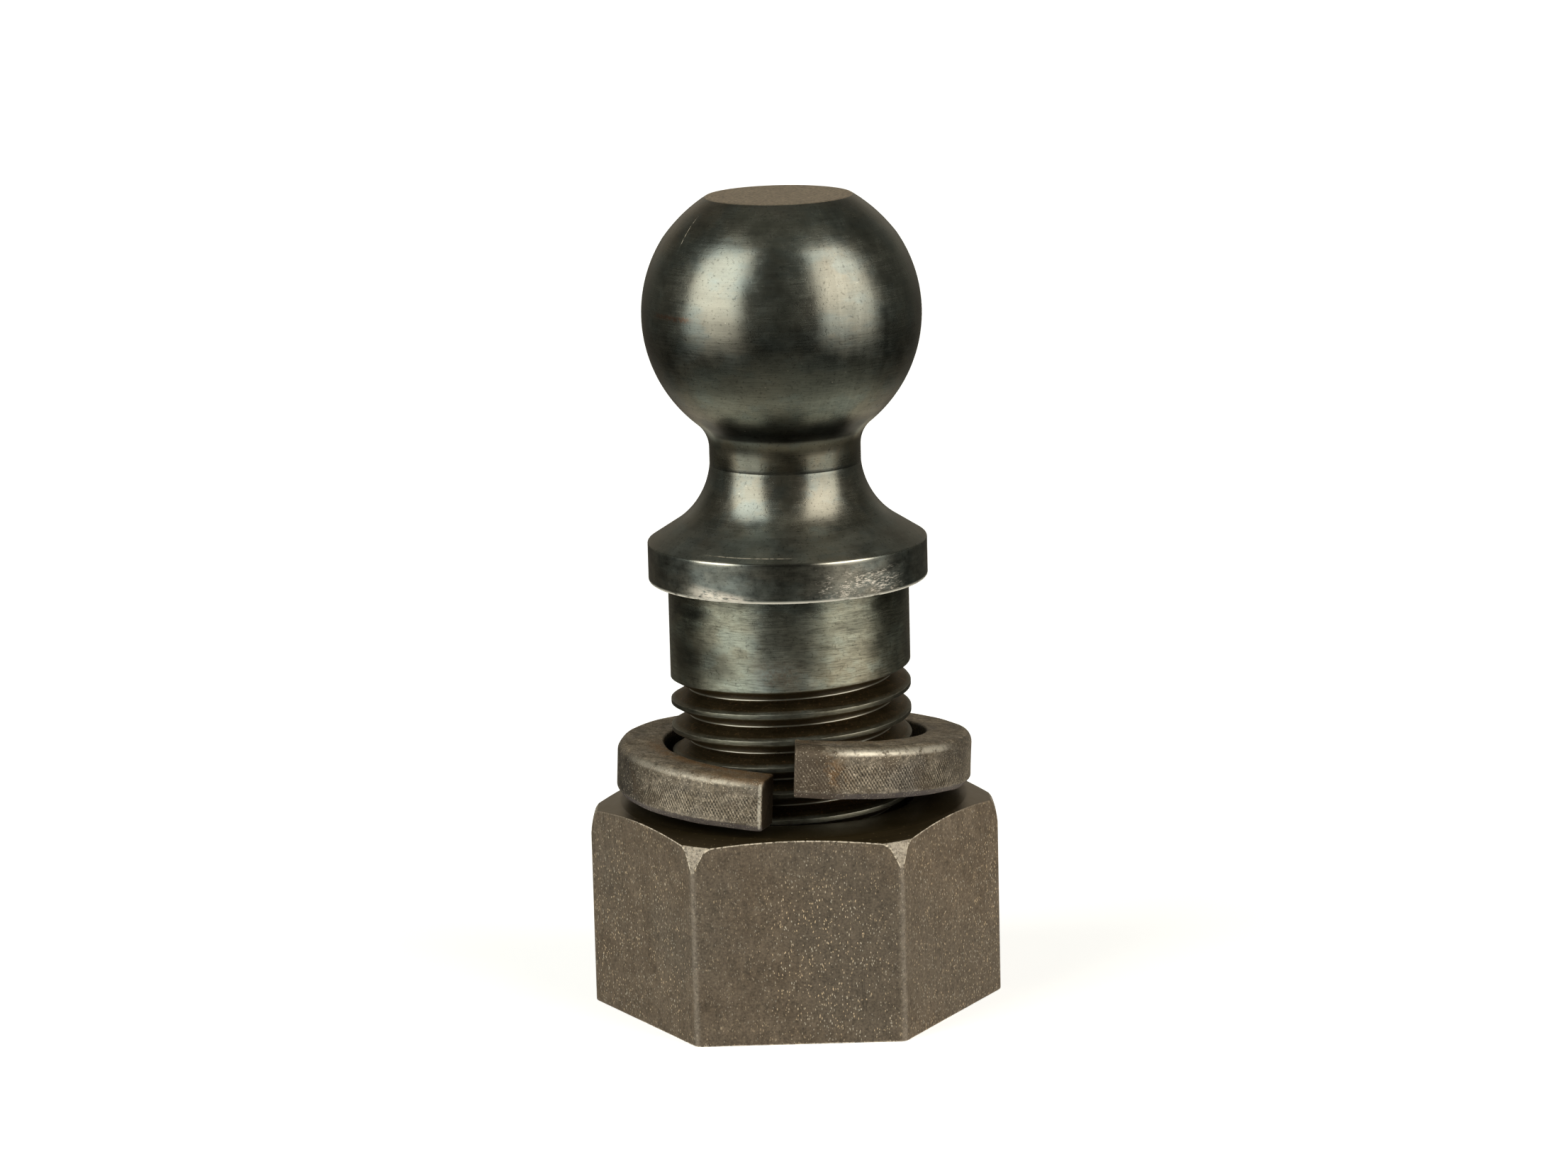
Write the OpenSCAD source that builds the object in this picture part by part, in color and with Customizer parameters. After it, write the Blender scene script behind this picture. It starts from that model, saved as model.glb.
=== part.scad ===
// Threaded ball stud with its lock washer and hex nut.
// The stud stands upright: +Z runs along the stud from the nut to the ball,
// and the origin is on the stud's axis at the nut's bottom face.

/* [Ball] */
// Diameter of the ball
ball_d = 58.74; // [50:0.01:66]
// Height of the ball's centre above the nut's bottom face
ball_z = 148.05; // [145:0.05:156]
// Height of the turned flat on top of the ball, above the ball's centre
ball_flat = 24.75; // [18:0.05:28]

/* [Neck] */
// Diameter of the neck between the ball and the flange
neck_d = 31.9; // [26:0.1:36]
// Radius of the hollow where the ball runs into the neck
ball_fillet = 7; // [4:0.1:8]
// Radius of the large hollow where the neck spreads to the flange
neck_fillet = 17; // [14:0.1:18]
// Height at which the large hollow leaves the neck
neck_fillet_z = 118; // [116:0.1:119]
// Slope from upright at which the hollow turns into a short cone
neck_cone_angle = 58; // [50:0.5:64]

/* [Flange] */
// Outside diameter of the flange
flange_d = 59; // [56:0.1:66]
// Height of the flange's upper edge
flange_top_z = 100.25; // [99:0.05:101.5]
// Height of the flange's flat underside
flange_bottom_z = 91.8; // [88:0.1:94]
// Size of the broken edges on the flange
flange_edge = 0.35; // [0.2:0.05:1]

/* [Shank and thread] */
// Diameter of the plain shank under the flange
shank_d = 50.8; // [50.6:0.1:51]
// Length of the whole shank, from the flange down to its end
shank_len = 88.9; // [84:0.1:90]
// Height at which the plain shank steps down to the thread's crest
thread_step_z = 74.9; // [74.5:0.1:80]
// Diameter over the thread's crests
thread_crest_d = 50.25; // [50:0.05:50.25]
// Diameter at the thread's root
thread_root_d = 44; // [43.6:0.1:44.4]
// Rise of the thread in one turn
thread_pitch = 5.6444; // [5.6:0.0001:5.7]
// Height of a thread crest on the +X side, counted within one turn
thread_phase = 0.83; // [0:0.01:5.6]
// Turn over which the last groove fades into the plain shank
thread_runout = 130; // [90:10:180]
// Chamfer on the lower end of the shank
shank_chamfer = 3.6; // [2:0.1:4]

/* [Lock washer] */
// Outside diameter of the lock washer
washer_d = 75.4; // [72:0.1:76]
// Inside diameter of the lock washer
washer_bore = 55.8; // [53.5:0.1:56.4]
// Thickness of the washer's section
washer_t = 10.8; // [8:0.1:12]
// Rise of the washer's spring coil in one turn
washer_rise = 7.9; // [6.5:0.1:9]
// Direction of the washer's low end, counted from +X
washer_low_az = 259; // [250:0.5:262]
// Width of the split between the two ends, as an angle
washer_gap = 10.5; // [8:0.5:20]
// Lean of the washer on the nut, along X
washer_lean_x = -2; // [-2.2:0.05:0]
// Lean of the washer on the nut, along Y
washer_lean_y = -2.2; // [-2.4:0.05:0]
// Gap under the washer's lowest point
washer_clear = 0.15; // [0.05:0.05:0.5]
// Distance that the loose washer sits off the axis, along X
washer_shift = 0.3; // [0:0.1:0.6]

/* [Hex nut] */
// Width of the nut across its flats
nut_flats = 75.6; // [74:0.1:77]
// Height of the nut
nut_h = 44; // [43:0.1:44]
// Rounding of the nut's upright corners
nut_corner_r = 1.8; // [1:0.1:3]
// Radius of the nut's flat top, where the shallow chamfer starts
nut_face_r = 36.8; // [34:0.1:37.4]
// Play between the nut's thread and the stud's thread, along the axis
thread_play = 0.25; // [0.2:0.01:0.3]
// Bore of the nut, at the crests of its thread
nut_bore = 44.8; // [44.7:0.05:45.2]

/* [Hidden] */
$fn = 96;

ball_r = ball_d / 2;
neck_r = neck_d / 2;
flange_r = flange_d / 2;
shank_r = shank_d / 2;
crest_r = thread_crest_d / 2;
root_r = thread_root_d / 2;
shank_end_z = flange_bottom_z - shank_len;

// Centres of the two hollows, tangent to the neck
upper_cx = neck_r + ball_fillet;
upper_cz = ball_z - sqrt(pow(ball_r + ball_fillet, 2) - pow(upper_cx, 2));
lower_cx = neck_r + neck_fillet;
cone_r = lower_cx - neck_fillet * cos(neck_cone_angle);
cone_z = neck_fillet_z - neck_fillet * sin(neck_cone_angle);

// Thread form: 60 degree flanks, with a basic crest of an eighth of the pitch
steps = 36;
flank = tan(30);
function ridge(r) = thread_pitch / 16 + (shank_r - r) * flank;
function groove(r) = thread_pitch / 2 - ridge(r);
cut_r = shank_r + 0.45;

// Turn at which the stud's groove reaches full depth under the shoulder,
// and the turn at which it has left the shank's lower end
groove_top = 10;
groove_z = thread_phase + thread_pitch * 12.5;
groove_low = -360 * ceil((groove_z - shank_end_z + 4) / thread_pitch);

// One ring of a swept section, and the faces that join the rings
function ring(sec, a, z) = [for (p = sec) [p[0] * cos(a), p[0] * sin(a), p[1] + z]];
function skin(n, m) = concat(
    [[for (j = [m - 1:-1:0]) j]],
    [for (i = [0:n - 2], j = [0:m - 1])
        let (k = (j + 1) % m)
        each [[i * m + j, i * m + k, (i + 1) * m + k],
              [i * m + j, (i + 1) * m + k, (i + 1) * m + j]]],
    [[for (j = [0:m - 1]) (n - 1) * m + j]]);

// Sweeps a section along the thread's helix from turn a0 to turn a1,
// drawing away from the axis by lift over the last fade degrees
module helix(sec, a0, a1, z0, fade = 0, lift = 0) {
    n = ceil((a1 - a0) * steps / 360);
    turns = [for (i = [0:n]) a0 + (a1 - a0) * i / n];
    pts = [for (a = turns)
        let (f = fade > 0 ? max(0, 1 - (a1 - a) / fade) : 0)
        each ring([for (p = sec) [p[0] + lift * f, p[1]]], a, z0 + thread_pitch * a / 360)];
    polyhedron(points = pts, faces = skin(n + 1, len(sec)), convexity = 12);
}

// Half outline of the stud, from the axis outwards
module stud_outline() {
    // ball with its flat
    intersection() {
        translate([0, ball_z]) circle(ball_r);
        translate([0, ball_z - ball_r]) square([ball_r, ball_r + ball_flat]);
    }
    // shank, flange and neck, with the two hollows cut out
    difference() {
        polygon([[0, shank_end_z],
                 [crest_r - shank_chamfer, shank_end_z],
                 [crest_r, shank_end_z + shank_chamfer],
                 [crest_r, thread_step_z - (shank_r - crest_r)],
                 [shank_r, thread_step_z],
                 [shank_r, flange_bottom_z],
                 [flange_r - flange_edge, flange_bottom_z],
                 [flange_r, flange_bottom_z + flange_edge],
                 [flange_r, flange_top_z - flange_edge],
                 [flange_r - flange_edge, flange_top_z],
                 [cone_r, cone_z],
                 [lower_cx, neck_fillet_z],
                 [neck_r, neck_fillet_z],
                 [neck_r, upper_cz],
                 [upper_cx, upper_cz],
                 [0, ball_z]]);
        translate([lower_cx, neck_fillet_z]) circle(neck_fillet);
        translate([upper_cx, upper_cz]) circle(ball_fillet);
    }
}

// Ball, neck, flange and threaded shank, turned from one bar
module ball_stud() {
    color([0.23, 0.23, 0.20])
    difference() {
        rotate_extrude() stud_outline();
        helix([[root_r, -groove(root_r)], [cut_r, -groove(cut_r)],
               [cut_r, groove(cut_r)], [root_r, groove(root_r)]],
              groove_low, groove_top + thread_runout, groove_z,
              thread_runout, cut_r - root_r + 0.2);
    }
}

// Split spring washer: a square bar coiled once, its ends apart,
// leaning on the nut with its high end at the front
module lock_washer() {
    ri = washer_bore / 2;
    ro = washer_d / 2;
    t = washer_t;
    n = 90;
    a0 = washer_low_az + washer_gap - 360;
    turns = [for (i = [0:n]) a0 + (washer_low_az - a0) * i / n];
    lean = [washer_lean_x, washer_lean_y] / 36.2;
    // height of the coil's underside at a turn and radius, before it is set down
    function under(a, r) = washer_rise * (washer_low_az - a) / 360
        + r * (lean[0] * cos(a) + lean[1] * sin(a));
    // set down until its lowest point just clears the nut's top face
    base = nut_h + washer_clear - min([for (a = turns, r = [ri + 0.5, ro - 1.1]) under(a, r)]);
    sec = [[ri + 0.5, 0], [ro - 1.1, 0], [ro, 1.4], [ro, t - 1.9],
           [ro - 0.45, t - 0.95], [ro - 1.25, t - 0.3], [ro - 2.3, t],
           [ri + 0.5, t], [ri, t - 0.5], [ri, 0.5]];
    pts = [for (a = turns) each [for (p = sec)
        [washer_shift + p[0] * cos(a) - lean[0] * (p[1] - t / 2),
         p[0] * sin(a) - lean[1] * (p[1] - t / 2),
         base + under(a, p[0]) + p[1]]]];
    color([0.33, 0.29, 0.24])
    polyhedron(points = pts, faces = skin(n + 1, len(sec)), convexity = 6);
}

// Hexagon with rounded corners
module hexagon() {
    big_r = nut_flats / sqrt(3);
    c = big_r - nut_corner_r / cos(30);
    polygon([for (k = [0:5], s = [-30, 30])
        [c * cos(60 * k) + nut_corner_r * cos(60 * k + s),
         c * sin(60 * k) + nut_corner_r * sin(60 * k + s)]]);
    for (k = [0:5]) rotate(60 * k) translate([c, 0]) circle(nut_corner_r);
}

// Heavy hex nut with a threaded bore
module hex_nut() {
    corner_r = nut_flats / sqrt(3) - nut_corner_r * (1 / cos(30) - 1);
    bore_r = nut_bore / 2;
    mouth_r = crest_r + 0.75;
    in_r = bore_r - 0.5;
    out_r = shank_r + 0.2;
    color([0.36, 0.32, 0.27])
    difference() {
        intersection() {
            linear_extrude(nut_h) hexagon();
            rotate_extrude() polygon([[0, -1], [corner_r + 1.1, -1], [corner_r + 1.1, nut_h - 9.2],
                [corner_r, nut_h - 6], [corner_r - 1.6, nut_h - 1.4], [nut_face_r, nut_h], [0, nut_h]]);
        }
        translate([0, 0, -1]) cylinder(r = bore_r, h = nut_h + 2);
        translate([0, 0, nut_h - (mouth_r - bore_r)])
            cylinder(r1 = bore_r, r2 = mouth_r + 1, h = mouth_r - bore_r + 1);
        translate([0, 0, -1])
            cylinder(r1 = mouth_r + 1, r2 = bore_r, h = mouth_r - bore_r + 1);
        helix([[in_r, -ridge(in_r) - thread_play], [out_r, -ridge(out_r) - thread_play],
               [out_r, ridge(out_r) + thread_play], [in_r, ridge(in_r) + thread_play]],
              -360 * 2, 360 * 9, thread_phase);
    }
}

ball_stud();
lock_washer();
hex_nut();
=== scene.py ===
import math

import bmesh
import bpy
import numpy as np
from mathutils import Matrix, Vector


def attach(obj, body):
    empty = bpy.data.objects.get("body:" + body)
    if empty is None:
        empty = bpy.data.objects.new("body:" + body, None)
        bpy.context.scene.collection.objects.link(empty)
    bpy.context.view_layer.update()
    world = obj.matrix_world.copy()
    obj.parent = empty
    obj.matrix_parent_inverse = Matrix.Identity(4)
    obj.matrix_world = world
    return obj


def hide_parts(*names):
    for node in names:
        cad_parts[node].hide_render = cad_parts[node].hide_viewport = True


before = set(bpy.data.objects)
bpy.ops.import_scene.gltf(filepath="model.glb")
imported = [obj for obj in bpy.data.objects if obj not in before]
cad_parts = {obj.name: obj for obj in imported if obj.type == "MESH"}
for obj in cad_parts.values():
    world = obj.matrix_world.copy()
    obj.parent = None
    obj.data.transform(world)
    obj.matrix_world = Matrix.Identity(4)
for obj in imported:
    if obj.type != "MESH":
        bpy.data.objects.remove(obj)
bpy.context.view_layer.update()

scene = bpy.context.scene
MM = 0.001
TAU = 2 * math.pi

# ---------------------------------------------------------------- sizes, in mm
BALL_R, BALL_Z, BALL_FLAT = 29.37, 148.05, 24.75
NECK_R, BALL_FILLET = 15.95, 7.0
HOLLOW_R, HOLLOW_Z, CONE_ANGLE = 17.0, 118.0, 58.0
FLANGE_R, FLANGE_TOP, FLANGE_LOW = 29.5, 100.25, 91.8
SHANK_R, SHANK_END, END_CHAMFER = 25.45, 2.9, 3.6
FORM_R, ROOT_R, PITCH, PHASE = 25.65, 21.62, 5.6444, 0.83
RUNOUT, RUNOUT_LIFT = 130.0, 4.5
NUT_FLATS, NUT_H, NUT_CORNER, NUT_FACE_R = 75.6, 44.0, 1.8, 36.8
NUT_BORE_R, NUT_ROOT_R, NUT_MOUTH_R, PLAY = 22.4, 25.6, 25.875, 0.25
WASH_RI, WASH_RO, WASH_T = 27.9, 37.7, 10.8
WASH_RISE, WASH_LOW, WASH_GAP = 7.9, 259.0, 10.5
WASH_LEAN = np.array([-2.0, -2.2]) / 36.2
WASH_SHIFT, WASH_CLEAR = 0.3, 0.15
FLANK = math.tan(math.radians(30))


def ridge(r):
    """Half width of the stud's thread ridge at a radius."""
    return PITCH / 16 + (FORM_R - r) * FLANK


def waves(u, v, seed, count=16, low=1, high=9, slope=1.0):
    """Smooth repeatable unevenness, about -1 to 1, over u (which wraps at a full turn) and v."""
    rng = np.random.default_rng(seed)
    out = 0.0
    for _ in range(count):
        k = int(rng.integers(low, high + 1))
        m = rng.uniform(-1, 1) * slope
        out = out + rng.uniform(0.4, 1) * np.sin(k * u + m * v + rng.uniform(0, TAU))
    return out / math.sqrt(count) / 0.7


# ---------------------------------------------------------------- mesh building
class Skin:
    """Points, faces and point values of one closed surface."""

    def __init__(self, *values):
        self.points, self.faces = [], []
        self.values = {v: [] for v in values}
        self.count = 0

    def add(self, xyz, **values):
        xyz = np.asarray(xyz, float).reshape(-1, 3)
        n = len(xyz)
        self.points.append(xyz)
        for name, store in self.values.items():
            v = np.broadcast_to(np.asarray(values.get(name, 0.0), float), (n,))
            store.append(v)
        ids = np.arange(self.count, self.count + n)
        self.count += n
        return ids

    def ring(self, angles, r, z, **values):
        r = np.broadcast_to(r, angles.shape)
        z = np.broadcast_to(z, angles.shape)
        return self.add(
            np.stack([r * np.cos(angles), r * np.sin(angles), z], 1), **values
        )

    def band(self, a, b):
        """Quads between two closed rings."""
        a2, b2 = np.roll(a, -1), np.roll(b, -1)
        self.faces += np.stack([a, a2, b2, b], 1).tolist()

    def fan(self, ring, centre):
        n = len(ring)
        self.faces += [
            [int(ring[i]), int(ring[(i + 1) % n]), int(centre)] for i in range(n)
        ]

    def build(self, name, sharp=38.0):
        me = bpy.data.meshes.new(name)
        co = np.concatenate(self.points) * MM
        me.from_pydata(co.tolist(), [], self.faces)
        bm = bmesh.new()
        bm.from_mesh(me)
        bmesh.ops.recalc_face_normals(bm, faces=bm.faces)
        limit = math.radians(sharp)
        for f in bm.faces:
            f.smooth = True
        for e in bm.edges:
            e.smooth = e.calc_face_angle(0.0) < limit
        bm.to_mesh(me)
        bm.free()
        for value, parts in self.values.items():
            at = me.attributes.new(value, "FLOAT", "POINT")
            at.data.foreach_set("value", np.concatenate(parts).astype(np.float32))
        me.update()
        ob = bpy.data.objects.new(name, me)
        scene.collection.objects.link(ob)
        return ob


def screw(skin, angles, z, r, per_turn, **values):
    """A grid of rows that climb one pitch per turn. angles ends with the full turn, where
    a row meets the row that is per_turn above it. Returns the ids, with that last column."""
    rows, cols = z.shape
    m = cols - 1
    xyz = np.stack([r * np.cos(angles), r * np.sin(angles), z], 2)
    flat = {k: v[:, :m].ravel() for k, v in values.items()}
    own = skin.add(xyz[:, :m].reshape(-1, 3), **flat).reshape(rows, m)
    tail = skin.add(
        xyz[rows - per_turn :, m], **{k: v[rows - per_turn :, m] for k, v in values.items()}
    )
    ids = np.empty((rows, cols), int)
    ids[:, :m] = own
    ids[: rows - per_turn, m] = own[per_turn:, 0]
    ids[rows - per_turn :, m] = tail
    quads = np.stack([ids[:-1, :-1], ids[:-1, 1:], ids[1:, 1:], ids[1:, :-1]], 2)
    skin.faces += quads.reshape(-1, 4).tolist()
    return ids


def close_top(skin, ids, ring, per_turn):
    """Joins the climbing top edge of a screw grid to a level ring."""
    k, m = ids.shape[0] - 1, ids.shape[1] - 1
    step = [int(ids[j, m]) for j in range(k, k - per_turn, -1)]
    skin.faces.append(
        [int(ids[k, 0]), int(ids[k, 1]), int(ring[1]), int(ring[0])] + step
    )
    for i in range(1, m):
        skin.faces.append(
            [int(ids[k, i]), int(ids[k, i + 1]), int(ring[(i + 1) % m]), int(ring[i])]
        )


def close_low(skin, ids, ring, per_turn):
    """Joins the climbing lower edge of a screw grid to a level ring."""
    m = ids.shape[1] - 1
    for i in range(m - 1):
        skin.faces.append(
            [int(ring[i]), int(ring[i + 1]), int(ids[0, i + 1]), int(ids[0, i])]
        )
    step = [int(ids[j, 0]) for j in range(per_turn + 1)]
    skin.faces.append([int(ring[m - 1]), int(ring[0])] + step + [int(ids[0, m - 1])])


# ---------------------------------------------------------------- ball stud
ROOT_HALF = PITCH / 2 - ridge(ROOT_R)
ROOT_ROUND = ROOT_HALF * math.cos(math.radians(30)) / 0.5


def groove_half(h):
    """Half width of the round-bottomed groove at a height above its bottom."""
    h = np.maximum(h, 0)
    arc = np.sqrt(np.maximum(2 * ROOT_ROUND * h - h * h, 0))
    return np.where(h < ROOT_ROUND / 2, arc, ROOT_HALF + h * FLANK)


def shank_outer(z):
    return np.minimum(SHANK_R, SHANK_R - END_CHAMFER + (z - SHANK_END))


def stud_thread(angles):
    arc = [ROOT_ROUND * (1 - math.cos(math.radians(x))) for x in (20, 40, 60)]
    heights = np.array(arc + [1.1, 1.95, 2.8])
    zs, rs, edge, deep = [], [], [], []

    def row(z, r, e, bottom=0.0):
        z = np.asarray(z, float)
        zs.append(z)
        rs.append(r)
        edge.append(np.broadcast_to(e, z.shape))
        deep.append(np.broadcast_to(bottom, z.shape))

    def side(zc, floor, sign):
        d = np.maximum(shank_outer(zc + sign * 2.42) - floor, 0)
        full = SHANK_R - ROOT_R
        q = np.minimum(1, d / 0.5)
        w_top = groove_half(d)
        out = []
        for j in range(1, 10):
            if j <= 6:
                h = heights[j - 1] * d / full if j > 3 else heights[j - 1] * np.minimum(1, d / 1.2)
                w, e = groove_half(h), 0.0
            elif j == 7:
                h, e = d - 0.10 * q, 0.4 * q
                w = groove_half(h)
            elif j == 8:
                h, w, e = d - 0.018 * q, w_top + 0.012 * q, 1.0 * q
            else:
                h, w, e = d, w_top + 0.10 * q, 0.5 * q
            w = np.maximum(w, 0.07 * j)
            z = zc + sign * w
            out.append((z, np.minimum(shank_outer(z), floor + h), e, 1.0 if j <= 2 else 0.0))
        return out

    for t in range(-14, 2):
        turn = np.degrees(angles) + 360 * t
        zc = PHASE + 12.5 * PITCH + PITCH * turn / 360
        floor = ROOT_R + RUNOUT_LIFT * np.clip((turn - 10) / RUNOUT, 0, 1)
        row(zc - PITCH / 2, shank_outer(zc - PITCH / 2), 0.0)
        for line in reversed(side(zc, floor, -1)):
            row(*line)
        row(zc, np.minimum(shank_outer(zc), floor), 0.0, 1.0)
        for line in side(zc, floor, 1):
            row(*line)
    row(zc + PITCH / 2, shank_outer(zc + PITCH / 2), 0.0)
    return np.maximum(np.array(zs), SHANK_END), np.array(rs), np.array(edge), np.array(deep)


def stud_path():
    """Outline of the stud above the thread, from the plain shank up to the flat: r, z, edge."""
    p = [(SHANK_R, z, 0) for z in (87.0, 89.0, 90.6, 91.1)]
    p += [(SHANK_R + 0.5 * (1 - math.cos(math.radians(x))), FLANGE_LOW - 0.5 + 0.5 * math.sin(math.radians(x)), 0) for x in (10, 35, 60, 90)]
    p += [(r, FLANGE_LOW, 0) for r in (26.6, 28.3, 28.8)]
    b = 0.5
    for x in (0, 22, 45, 68, 90):
        a = math.radians(x)
        p.append((FLANGE_R - b + b * math.sin(a), FLANGE_LOW + b - b * math.cos(a), 1 if 0 < x < 90 else 0.5))
    p += [(FLANGE_R, z, 0) for z in (92.7, 93.2, 94.2, 95.4, 96.6, 97.8, 98.8, 99.3)]
    # upper rim: the cylinder turns into the short cone through a small round
    b = 0.55
    cz = FLANGE_TOP - 0.22 - b * math.tan(math.radians(57.4 / 2))
    for x in np.linspace(0, 57.4, 7):
        a = math.radians(x)
        p.append((FLANGE_R - b + b * math.cos(a), cz + b * math.sin(a), 1 if 0 < x < 57 else 0.5))
    r0, z0 = p[-1][:2]
    cone = math.radians(CONE_ANGLE)
    r1 = NECK_R + HOLLOW_R - HOLLOW_R * math.cos(cone)
    z1 = HOLLOW_Z - HOLLOW_R * math.sin(cone)
    for f in (0.05, 0.15, 0.4, 0.7):
        p.append((r0 + (r1 - r0) * f, z0 + (z1 - z0) * f, 0))
    for x in np.linspace(CONE_ANGLE, 5.74, 28):
        a = math.radians(x)
        near = 0.085 * (CONE_ANGLE - x) / (CONE_ANGLE - 5.74)
        p.append((NECK_R + HOLLOW_R - HOLLOW_R * math.cos(a) - near, HOLLOW_Z - HOLLOW_R * math.sin(a), 0))
    # fine tool line where the hollow meets the straight neck
    p += [(NECK_R - 0.02, 116.36, 0), (NECK_R - 0.02, 116.44, 0), (NECK_R, 116.5, 0), (NECK_R, 117.2, 0), (NECK_R, 118.3, 0), (NECK_R, 119.3, 0)]
    cx = NECK_R + BALL_FILLET
    cz = BALL_Z - math.sqrt((BALL_R + BALL_FILLET) ** 2 - cx**2)
    end = math.degrees(math.atan2(BALL_Z - cz, -cx))
    for x in np.linspace(180, end, 15):
        a = math.radians(x)
        p.append((cx + BALL_FILLET * math.cos(a), cz + BALL_FILLET * math.sin(a), 0))
    low = math.degrees(math.atan2(cz - BALL_Z, cx))
    for x in np.linspace(low, 56.7, 56)[1:]:
        a = math.radians(x)
        up = BALL_Z + BALL_R * math.sin(a)
        # the ball is rubbed a little slimmer towards its flat
        slim = 0.5 * max(0.0, (up - 164.5) / 8.3) ** 0.8
        p.append((BALL_R * math.cos(a) - slim, up, 0))
    top = BALL_Z + BALL_FLAT
    p += [(15.46, top - 0.12, 0.6), (15.34, top - 0.04, 1), (15.17, top - 0.006, 0.6), (14.9, top, 0)]
    p += [(r, top, 0) for r in (14.0, 11.0, 8.0, 5.0, 2.0)]
    return p


def make_stud():
    skin = Skin("run", "edge", "cut", "deep")
    m = 180
    angles = np.linspace(0, TAU, m + 1)
    z, r, e, deep = stud_thread(angles)
    cut = np.clip((shank_outer(z) - r) / 0.25, 0, 1)
    ids = screw(skin, angles, z, r, 20, run=z, edge=e, cut=cut, deep=deep * cut)
    # the flat lower end
    loop = list(ids[0, :m]) + [ids[j, 0] for j in range(20, 0, -1)]
    centre = skin.add([[-3, 2, SHANK_END]], run=0)
    skin.fan(loop, centre[0])
    path = stud_path()
    around = angles[:m]
    last, run = None, path[0][1]
    for i, (pr, pz, pe) in enumerate(path):
        if i:
            run += math.hypot(pr - path[i - 1][0], pz - path[i - 1][1])
        ring = skin.ring(around, pr, pz, run=run, edge=pe)
        if last is None:
            close_top(skin, ids, ring, 20)
        else:
            skin.band(last, ring)
        last = ring
    centre = skin.add([[0, 0, BALL_Z + BALL_FLAT]], run=run + 2)
    skin.fan(last, centre[0])
    return skin.build("ball_stud_turned")


# ---------------------------------------------------------------- lock washer
def rounded_section():
    """Outline of the washer's bar, (radius, height, edge), with its corners rounded."""
    ri, ro, t = WASH_RI, WASH_RO, WASH_T
    corners = [
        (ri, 0.0, 0.55), (ro - 1.1, 0.0, 0.35), (ro, 1.4, 0.45), (ro, t, 2.15), (ri, t, 0.55),
    ]
    n = len(corners)
    out = []
    for i in range(n):
        c = np.array(corners[i][:2])
        a = np.array(corners[i - 1][:2]) - c
        b = np.array(corners[(i + 1) % n][:2]) - c
        la, lb = np.linalg.norm(a), np.linalg.norm(b)
        a, b = a / la, b / lb
        half = math.acos(float(np.clip(a @ b, -1, 1))) / 2
        reach = corners[i][2] / math.tan(half)
        mid = c + (a + b) / np.linalg.norm(a + b) * corners[i][2] / math.sin(half)
        start = math.atan2(*(c + a * reach - mid)[::-1])
        end = math.atan2(*(c + b * reach - mid)[::-1])
        sweep = (end - start + math.pi) % TAU - math.pi
        steps = 8 if corners[i][2] > 1 else 4
        for k in range(steps + 1):
            f = start + sweep * k / steps
            q = mid + corners[i][2] * np.array([math.cos(f), math.sin(f)])
            out.append((q[0], q[1], math.sin(math.pi * (0.15 + 0.7 * k / steps))))
        # points along the straight side that follows
        nxt = corners[(i + 1) % n]
        e = np.array(nxt[:2])
        ang2 = math.acos(float(np.clip(np.dot(-b, (np.array(corners[(i + 2) % n][:2]) - e) / np.linalg.norm(np.array(corners[(i + 2) % n][:2]) - e)), -1, 1))) / 2
        p0, p1 = c + b * reach, e - b * nxt[2] / math.tan(ang2)
        length = np.linalg.norm(p1 - p0)
        for k in range(1, max(1, int(length / 1.3))):
            q = p0 + (p1 - p0) * k / max(1, int(length / 1.3))
            out.append((q[0], q[1], 0.0))
    return np.array(out)


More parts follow.
